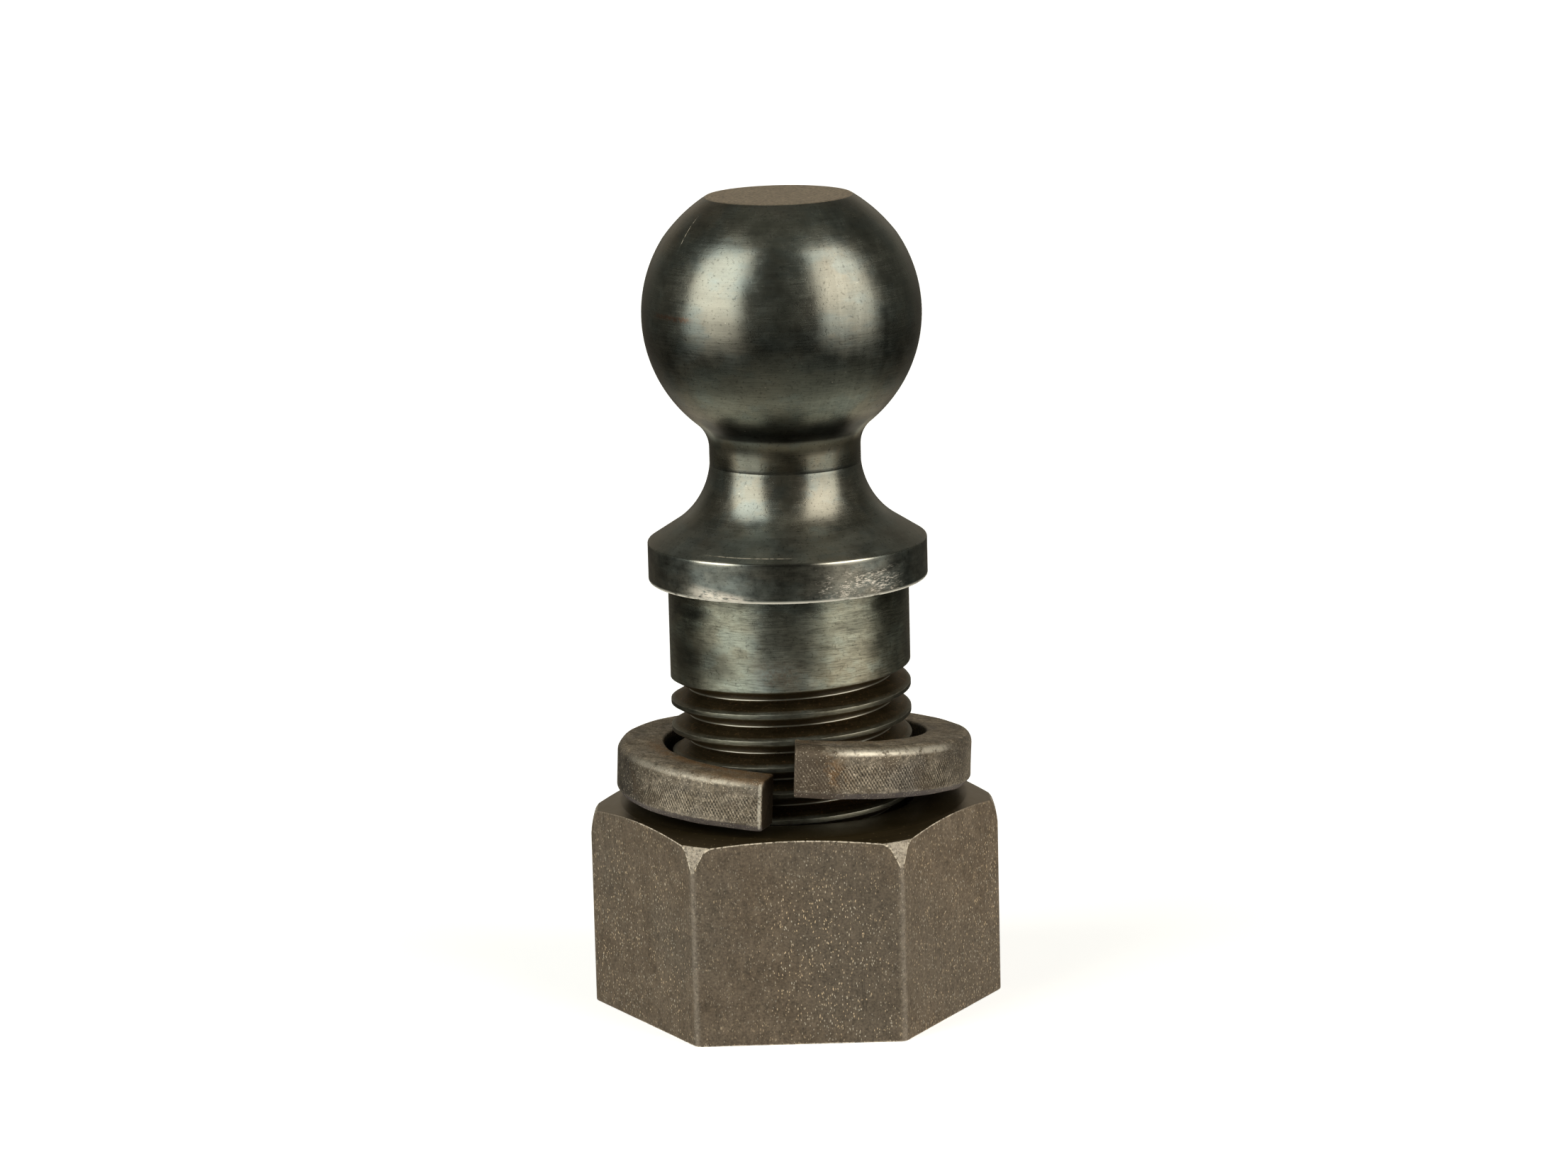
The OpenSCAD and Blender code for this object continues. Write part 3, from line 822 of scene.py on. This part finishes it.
def washer_material():
    g = Graph("washer_spring_steel")
    p, x, y, z, r = g.mm()
    edge, along, tall = g.attr("edge"), g.attr("along"), g.attr("tall")
    high, low = g.attr("from_high"), g.attr("from_low")
    az = g.mul(g.math("ARCTAN2", y, x), 180 / math.pi)
    mottle = g.noise(p, 0.28, 6.0, 0.68)
    grain = g.noise(p, 2.4, 4.0, 0.68)
    broad = g.noise(p, 0.09, 3.0, 0.55)
    patchy = g.noise(p, 0.5, 5.0, 0.7)
    arc = g.mul(az, 37.7 * math.pi / 180)

    # fine slanting rolling marks on the outer face, weaker ones across them
    k = TAU / 0.74
    one = g.math("SINE", g.mul(g.plus(arc, g.mul(tall, 0.62)), k))
    two = g.math("SINE", g.mul(g.minus(arc, g.mul(tall, 0.62)), k))
    knurl = g.plus(g.mul(one, 0.42), g.mul(two, 0.20))
    outer = g.mul(g.step(along, 37.2, 37.5), g.window(tall, 2.0, 7.2, 0.9))
    patch = g.step(g.noise(p, 0.2, 3.0, 0.6), 0.34, 0.5)
    knurled = g.mul(outer, g.line(patch, 0, 1, 0.25, 1.0))

    colour = g.mix(g.step(mottle, 0.34, 0.66), (0.112, 0.088, 0.061), (0.208, 0.172, 0.130))
    colour = g.mix(g.mul(g.step(broad, 0.45, 0.68), 0.7), colour, (0.118, 0.102, 0.086))
    colour = g.shade(colour, g.line(grain, 0.3, 0.7, 0.46, 1.54))
    colour = g.shade(colour, g.line(g.noise(p, 1.15, 3.0, 0.7), 0.35, 0.65, 0.60, 1.36))
    colour = g.shade(colour, g.plus(1.0, g.mul(g.step(tall, 9.6, 10.6), g.line(patchy, 0.36, 0.64, -0.36, 0.36))))
    colour = g.shade(colour, g.plus(1.03, g.mul(g.mul(knurl, knurled), 1.4)))
    # painted light: the top face is made lighter than the sides
    colour = g.shade(colour, g.plus(1.04, g.mul(g.step(tall, 10.2, 10.7), 0.62)))
    # painted shade: the washer's far left, below the top, is darkened
    colour = g.shade(colour, g.minus(1.0, g.mul(g.step(g.math("ABSOLUTE", az), 138.0, 163.0, 0.0, 0.64), g.minus(1.0, g.step(tall, 9.0, 10.4)))))
    blot = g.step(g.noise(p, 0.17, 5.0, 0.7), 0.52, 0.66)
    colour = g.mix(g.mul(blot, 0.6), colour, g.mix(grain, (0.045, 0.032, 0.020), (0.125, 0.090, 0.060)))
    # smooth purple-grey bevel along the bottom
    bevel = g.mul(g.minus(1.0, g.step(tall, 1.1, 1.5)), g.step(along, 35.5, 36.3))
    colour = g.mix(g.mul(bevel, 0.6), colour, (0.135, 0.115, 0.120))
    # dark scale on the first stretch of the high end, with a rusty border
    lead = g.plus(high, g.plus(g.mul(tall, 0.28), g.mul(g.minus(patchy, 0.5), 12.0)))
    scale = g.mul(g.minus(1.0, g.step(lead, 7.0, 10.5)), g.step(along, 30.0, 31.0))
    colour = g.mix(g.mul(scale, 0.75), colour, g.mix(grain, (0.045, 0.031, 0.020), (0.130, 0.092, 0.062)))
    border = g.mul(g.window(lead, 8.0, 11.5, 1.6), g.window(tall, 3.0, 9.0, 1.5))
    # rust on the inner edge of the top face, and round the low end
    up = g.step(tall, 9.4, 10.3)
    inner = g.mul(up, g.minus(1.0, g.step(along, 29.6, 33.5)))
    rust = g.mul(g.mul(inner, g.minus(1.0, g.step(low, 34.0, 52.0))), g.step(patchy, 0.34, 0.54))
    tip = g.mul(g.mul(up, g.minus(1.0, g.step(low, 8.0, 18.0))), g.step(patchy, 0.30, 0.55))
    rust = g.math("MAXIMUM", rust, g.mul(tip, 0.75))
    rust = g.math("MAXIMUM", rust, g.mul(g.mul(border, g.step(patchy, 0.42, 0.60)), 0.65))
    ledge = g.mul(g.mul(inner, g.minus(1.0, g.step(high, 24.0, 40.0))), g.step(patchy, 0.44, 0.62))
    rust = g.math("MAXIMUM", rust, g.mul(ledge, 0.6))
    colour = g.mix(g.mul(rust, 0.85), colour, g.mix(grain, (0.120, 0.060, 0.022), (0.31, 0.165, 0.062)))
    # a thin dark seam along the top of the high end, between the rust and the rubbed band
    seam = g.mul(g.window(along, 34.1, 34.6, 0.16), g.mul(g.step(tall, 10.0, 10.4), g.minus(1.0, g.step(high, 22.0, 34.0))))
    colour = g.mix(g.mul(g.mul(seam, g.step(patchy, 0.30, 0.50)), 0.9), colour, (0.020, 0.015, 0.010))
    # a dark oil stain on the right, and the low end's cut face painted near black as shade
    oil = g.mul(g.window(az, -37, -17, 5), g.window(tall, 4.5, 10.0, 2.4))
    colour = g.mix(g.mul(g.mul(oil, g.step(mottle, 0.34, 0.6)), 0.6), colour, (0.050, 0.042, 0.034))
    # painted shade: the low end's cut face is coloured near black and barely reflects
    shaded_low_end_face = g.minus(1.0, g.step(low, 0.02, 0.25))
    colour = g.mix(g.mul(shaded_low_end_face, 0.96), colour, g.mix(grain, (0.010, 0.007, 0.004), (0.045, 0.031, 0.019)))
    # bright band on the outer edge of the top: rubbed metal, and a painted highlight where the rounding catches the
    # soft boxes
    band = g.mul(g.window(tall, 9.25, 10.35, 0.4), g.step(along, 35.4, 36.0))
    reach = g.math("MAXIMUM", g.mul(g.window(low, 3.0, 31.0, 5.0), 0.48), g.window(high, 8.0, 33.0, 4.0))
    rub = g.mul(g.mul(band, reach), g.step(g.noise(p, 0.7, 4.0, 0.7), 0.30, 0.52))
    line = g.mul(g.window(tall, 1.35, 1.75, 0.2), g.step(along, 36.8, 37.4))
    rub = g.math("MAXIMUM", rub, g.mul(g.mul(line, g.step(g.noise(p, 1.6, 4.0, 0.7), 0.44, 0.66)), 0.24))
    side = g.mul(g.window(low, 0.3, 0.8, 0.12), g.mul(g.step(along, 36.6, 37.2), g.step(g.noise(p, 1.4, 4.0, 0.7), 0.36, 0.54)))
    rub = g.math("MAXIMUM", rub, g.mul(side, 0.95))
    colour = g.mix(g.mul(rub, 0.9), colour, g.mix(grain, (0.50, 0.44, 0.35), (0.84, 0.77, 0.66)))
    lint = None
    for scale, size, keep in ((0.9, 0.16, 0.30), (1.5, 0.22, 0.35), (2.1, 0.26, 0.50)):
        c = g.cells(p, scale)
        pick = g.step(g.node("ShaderNodeSeparateColor", {0: c.outputs["Color"]}).outputs[0], keep, keep + 0.05)
        hit = g.mul(pick, g.minus(1.0, g.step(c.outputs["Distance"], size * 0.5, size)))
        lint = hit if lint is None else g.math("MAXIMUM", lint, hit)
    colour = g.mix(g.mul(g.mul(lint, g.minus(1.0, shaded_low_end_face)), 0.72), colour, (0.62, 0.53, 0.41))

    rough = g.minus(g.line(mottle, 0.3, 0.7, 0.46, 0.62), g.mul(rub, 0.22))
    height = g.plus(g.mul(g.mul(knurl, knurled), 1.0), g.plus(g.mul(mottle, 0.9), g.mul(grain, 0.45)))
    normal = g.bump(height, 0.5, 0.00012)
    g.surface(Base_Color=colour, Metallic=0.55, Roughness=rough, Normal=normal, Specular_IOR_Level=g.line(shaded_low_end_face, 0, 1, 0.5, 0.06))
    return g.owner


def nut_material():
    g = Graph("nut_forged_steel")
    p, x, y, z, r = g.mm()
    edge, corner, top, bore = g.attr("edge"), g.attr("corner"), g.attr("top"), g.attr("bore")
    az = g.math("ARCTAN2", y, x)
    mottle = g.noise(p, 0.16, 6.0, 0.62)
    grain = g.noise(p, 1.9, 4.0, 0.65)
    broad = g.noise(p, 0.035, 3.0, 0.5)
    tall = g.node("ShaderNodeVectorMath", operation="MULTIPLY")
    g.put(tall.inputs[0], p)
    tall.inputs[1].default_value = (1.0, 1.0, 0.45)
    brush = g.noise(tall.outputs[0], 1.1, 3.0, 0.6)

    colour = g.mix(g.step(mottle, 0.32, 0.68), (0.106, 0.077, 0.051), (0.140, 0.105, 0.072))
    colour = g.mix(g.step(broad, 0.42, 0.62), colour, g.mix(mottle, (0.103, 0.079, 0.055), (0.133, 0.103, 0.074)))
    tone = g.plus(g.line(grain, 0.3, 0.7, 0.58, 1.34), g.line(brush, 0.3, 0.7, -0.20, 0.20))
    # painted light: of the three flats in front, the right one is made lighter and the left one a little lighter
    tone = g.mul(tone, g.mul(g.step(x, 20.5, 22.5, 1.0, 1.28), g.step(x, -21.0, -22.5, 1.0, 1.07)))
    colour = g.shade(colour, tone)
    # pale flecks, most of them longer than wide and upright
    flecks = None
    for scale, size, keep, seed in ((1.05, 0.14, 0.35, 0.0), (0.8, 0.12, 0.45, 37.0), (1.7, 0.20, 0.35, 71.0), (2.3, 0.27, 0.35, 113.0)):
        move = g.node("ShaderNodeVectorMath", operation="ADD")
        g.put(move.inputs[0], tall.outputs[0])
        move.inputs[1].default_value = (seed, seed * 0.7, seed * 1.3)
        wob = g.node("ShaderNodeTexNoise", {"Vector": move.outputs[0], "Scale": 1.3, "Detail": 1.0})
        bent = g.node("ShaderNodeVectorMath", operation="ADD")
        g.put(bent.inputs[0], move.outputs[0])
        g.put(bent.inputs[1], g.shade(wob.outputs[1], 0.5))
        c = g.cells(bent.outputs[0], scale)
        hit = g.minus(1.0, g.step(c.outputs["Distance"], size * 0.55, size))
        pick = g.step(g.node("ShaderNodeSeparateColor", {0: c.outputs["Color"]}).outputs[0], keep, keep + 0.05)
        hit = g.mul(hit, pick)
        flecks = hit if flecks is None else g.math("MAXIMUM", flecks, hit)
    middle = g.mul(g.mul(g.window(x, -8.0, 19.0, 7.0), g.window(z, 7.0, 36.0, 7.0)), 0.85)
    sides = g.mul(g.step(g.math("ABSOLUTE", x), 22.0, 25.0), g.step(g.plus(g.noise(p, 0.12, 3.0, 0.6), g.step(x, 28.0, 42.0, 0.0, 0.16)), 0.34, 0.58))
    clump = g.math("MAXIMUM", g.mul(g.step(g.noise(p, 0.075, 3.0, 0.6), 0.32, 0.62), 0.72), g.math("MAXIMUM", middle, sides))
    bald = g.mul(g.window(x, -21.0, -9.0, 4.0), g.step(y, -30.0, -36.0))
    clump = g.mul(clump, g.minus(1.0, g.mul(bald, 0.75)))
    clump = g.mul(clump, g.minus(1.0, g.step(z, 33.0, 43.0, 0.0, 0.4)))
    flecks = g.mul(flecks, g.line(clump, 0, 1, 0.22, 1.0))
    side = g.mul(g.minus(1.0, g.step(top, 0.2, 0.6)), g.minus(1.0, g.step(bore, 0.5, 0.9)))
    flecks = g.mul(flecks, side)
    warm = g.noise(p, 0.6, 1.0, 0.5)
    colour = g.mix(g.mul(flecks, 0.88), colour, g.mix(g.step(warm, 0.4, 0.6), (0.78, 0.58, 0.36), (0.60, 0.53, 0.42)))
    # a few thin dark upright scratches
    thin = g.node("ShaderNodeVectorMath", operation="MULTIPLY")
    g.put(thin.inputs[0], p)
    thin.inputs[1].default_value = (1.0, 1.0, 0.035)
    scratch = g.math("ABSOLUTE", g.minus(g.noise(thin.outputs[0], 0.55, 2.0, 0.4), 0.5))
    scratch = g.mul(g.minus(1.0, g.step(scratch, 0.0, 0.006)), g.step(g.noise(p, 0.05, 2.0, 0.5), 0.52, 0.6))
    colour = g.mix(g.mul(g.mul(scratch, side), 0.5), colour, (0.035, 0.028, 0.02))
    # painted highlights: the corners and the little facets over them are coloured lighter, most near the top and on the
    # right
    corner_painted_highlight = g.mul(g.step(corner, 0.35, 1.0), g.line(grain, 0.35, 0.65, 0.35, 1.0))
    facet = g.mul(g.step(corner, 0.6, 1.0), g.mul(g.step(edge, 0.3, 0.55), g.step(z, 36.0, 37.5)))
    fade = g.mul(g.line(z, 37.0, 41.8, 0.25, 1.15), g.line(grain, 0.36, 0.64, 0.55, 1.35))
    colour = g.mix(g.plus(g.mul(corner_painted_highlight, 0.21), g.mul(g.mul(facet, fade), g.step(x, -5.0, 5.0, 0.18, 0.30))), colour, (0.52, 0.46, 0.39))
    worn = g.mul(g.mul(g.step(edge, 0.30, 0.85), g.step(grain, 0.36, 0.56)), g.step(g.noise(p, 0.3, 3.0, 0.6), 0.28, 0.48))
    worn = g.mul(worn, g.minus(1.0, g.mul(facet, g.line(z, 37.5, 43.0, 0.85, 0.45))))
    # the top chamfer over the far corners is coloured lighter, and their edges less worn
    far = g.step(g.math("ABSOLUTE", x), 34.0, 37.5)
    worn = g.mul(worn, g.minus(1.0, g.mul(g.step(g.math("ABSOLUTE", x), 31.0, 36.0), 0.85)))
    colour = g.mix(g.mul(worn, 0.9), colour, (0.78, 0.68, 0.54))
    # machined top and chamfer: dark and oily, and darker still as painted shade under the washer
    rings = g.noise(g.vec(g.mul(g.math("COSINE", az), 2.0), g.mul(g.math("SINE", az), 2.0), g.mul(r, 3.0)), 1.0, 3.0, 0.6)
    dark = g.shade(g.mix(mottle, (0.024, 0.016, 0.006), (0.042, 0.030, 0.014)), g.line(rings, 0.3, 0.7, 0.7, 1.3))
    motes = g.cells(p, 0.8)
    motes = g.minus(1.0, g.step(motes.outputs["Distance"], 0.07, 0.15))
    dark = g.mix(g.mul(motes, 0.5), dark, (0.34, 0.25, 0.14))
    dark = g.mix(g.mul(far, 0.85), dark, g.mix(mottle, (0.180, 0.142, 0.102), (0.216, 0.174, 0.128)))
    turned = g.math("MAXIMUM", g.step(top, 0.3, 0.8), g.step(bore, 0.6, 0.95))
    colour = g.mix(turned, colour, dark)

    rough = g.minus(g.line(mottle, 0.3, 0.7, 0.56, 0.68), g.mul(turned, 0.28))
    height = g.plus(g.mul(grain, 0.7), g.plus(g.mul(brush, 0.5), g.mul(flecks, 0.5)))
    height = g.plus(g.mul(height, g.minus(1.0, g.mul(turned, 0.8))), g.mul(g.mul(rings, turned), 0.4))
    normal = g.bump(height, 0.35, 0.00012)
    g.surface(Base_Color=colour, Metallic=0.35, Roughness=rough, Normal=normal, Specular_IOR_Level=g.line(turned, 0, 1, 0.5, 0.3))
    return g.owner


stud.data.materials.append(stud_material())
washer.data.materials.append(washer_material())
nut.data.materials.append(nut_material())
for piece, body, node, slot in (
    (stud, "stud", "ball_stud", "stud_steel"),
    (washer, "washer", "lock_washer", "washer_steel"),
    (nut, "nut", "hex_nut", "nut_steel"),
):
    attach(piece, body)
    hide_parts(node)


# ---------------------------------------------------------------- camera
def make_camera():
    yaw, pitch, roll = -0.0008534, 0.2062556, 0.0256742
    ahead = Vector((math.sin(yaw) * math.cos(pitch), math.cos(yaw) * math.cos(pitch), -math.sin(pitch)))
    right = Vector((math.cos(yaw), -math.sin(yaw), 0))
    down = ahead.cross(right)
    ix = right * math.cos(roll) + down * math.sin(roll)
    iy = right * math.sin(roll) - down * math.cos(roll)
    place = Matrix((ix, iy, -ahead)).transposed().to_4x4()
    place.translation = Vector((0, -1.110770, 0.321550))
    data = bpy.data.cameras.new("camera")
    data.sensor_fit = "HORIZONTAL"
    data.sensor_width = 36.0
    data.lens = 123.287
    data.clip_start, data.clip_end = 0.01, 60
    ob = bpy.data.objects.new("camera", data)
    scene.collection.objects.link(ob)
    ob.matrix_world = Matrix.Rotation(math.radians(-0.4586), 4, "Z") @ place
    scene.camera = ob


make_camera()


# ---------------------------------------------------------------- floor and light
def make_floor():
    me = bpy.data.meshes.new("floor")
    s = 12.0
    me.from_pydata([(-s, -s, 0), (s, -s, 0), (s, s, 0), (-s, s, 0)], [], [(0, 1, 2, 3)])
    ob = bpy.data.objects.new("floor", me)
    scene.collection.objects.link(ob)
    g = Graph("floor_white")
    p = g.node("ShaderNodeTexCoord").outputs["Object"]
    tone = g.line(g.noise(p, 3.0, 2.0, 0.5), 0.3, 0.7, 0.88, 0.9)
    grey = g.node("ShaderNodeCombineColor", {0: tone, 1: tone, 2: tone}).outputs[0]
    g.surface(Base_Color=grey, Roughness=0.9, Emission_Color=(1, 1, 1, 1), Emission_Strength=0.62)
    me.materials.append(g.owner)
    # the polished steel mirrors the studio and not this floor
    ob.visible_glossy = False
    ob.visible_shadow = False


make_floor()


def make_studio():
    """Soft studio light: two tall soft boxes in front, left and right, in a dim room."""
    world = bpy.data.worlds.new("studio")
    scene.world = world
    g = Graph("", world)
    d = g.node("ShaderNodeTexCoord").outputs["Generated"]
    s = g.node("ShaderNodeSeparateXYZ", {0: d})
    x, y, z = s.outputs
    deg = 180 / math.pi
    az = g.mul(g.math("ARCTAN2", x, g.mul(y, -1.0)), deg)
    el = g.mul(g.math("ARCSINE", z), deg)
    across = g.math("ABSOLUTE", g.plus(az, 1.5))
    box = g.mul(g.step(across, 31.5, 38.0), g.minus(1.0, g.step(across, 77.0, 88.0)))
    rise = g.mul(g.line(across, 36.0, 78.0, 6.0, 0.0), g.step(el, 18.0, 42.0))
    box = g.mul(box, g.curve(g.minus(el, rise), [
        (-26, 0), (-20, 0.10), (-14, 0.24), (-8, 0.40), (-2, 0.54), (3, 0.66), (8, 0.80),
        (14, 0.92), (21, 1), (32, 1), (51, 0.86), (55, 0.42), (59, 0),
    ]))
    warm = g.step(az, -10, 10)
    light = g.mix(warm, (3.34, 3.40, 3.10), (3.12, 3.04, 2.70))
    # dim room: a pale table below, brighter behind the part than in front of it
    behind = g.step(g.math("ABSOLUTE", az), 122.0, 168.0)
    front = g.curve(el, [
        (-90, 0.22), (-72, 0.38), (-60, 0.56), (-50, 0.5), (-42, 0.31), (-34, 0.12), (-25, 0.03),
        (-14, 0.045), (-4, 0.095), (20, 0.1), (48, 0.115), (66, 0.18), (90, 0.2),
    ])
    rear = g.curve(el, [
        (-90, 0.25), (-66, 0.4), (-52, 0.75), (-38, 0.75), (-27, 0.26), (-18, 0.09), (-8, 0.075),
        (0, 0.16), (6, 0.28), (15, 0.28), (30, 0.15), (48, 0.12), (66, 0.19), (90, 0.2),
    ])
    level = g.plus(g.mul(front, g.minus(1.0, behind)), g.mul(rear, behind))
    room = g.shade(g.mix(behind, (1.0, 0.99, 0.80), (1.06, 0.95, 0.77)), level)
    col = g.mix(box, room, light)
    seen = g.node("ShaderNodeLightPath").outputs["Is Camera Ray"]
    col = g.mix(seen, col, (1.0, 1.0, 1.0))
    bg = g.node("ShaderNodeBackground", {"Color": col, "Strength": 1.0})
    out = g.node("ShaderNodeOutputWorld")
    g.tree.links.new(bg.outputs[0], out.inputs[0])


make_studio()
scene.view_settings.view_transform = "Standard"
scene.view_settings.look = "None"
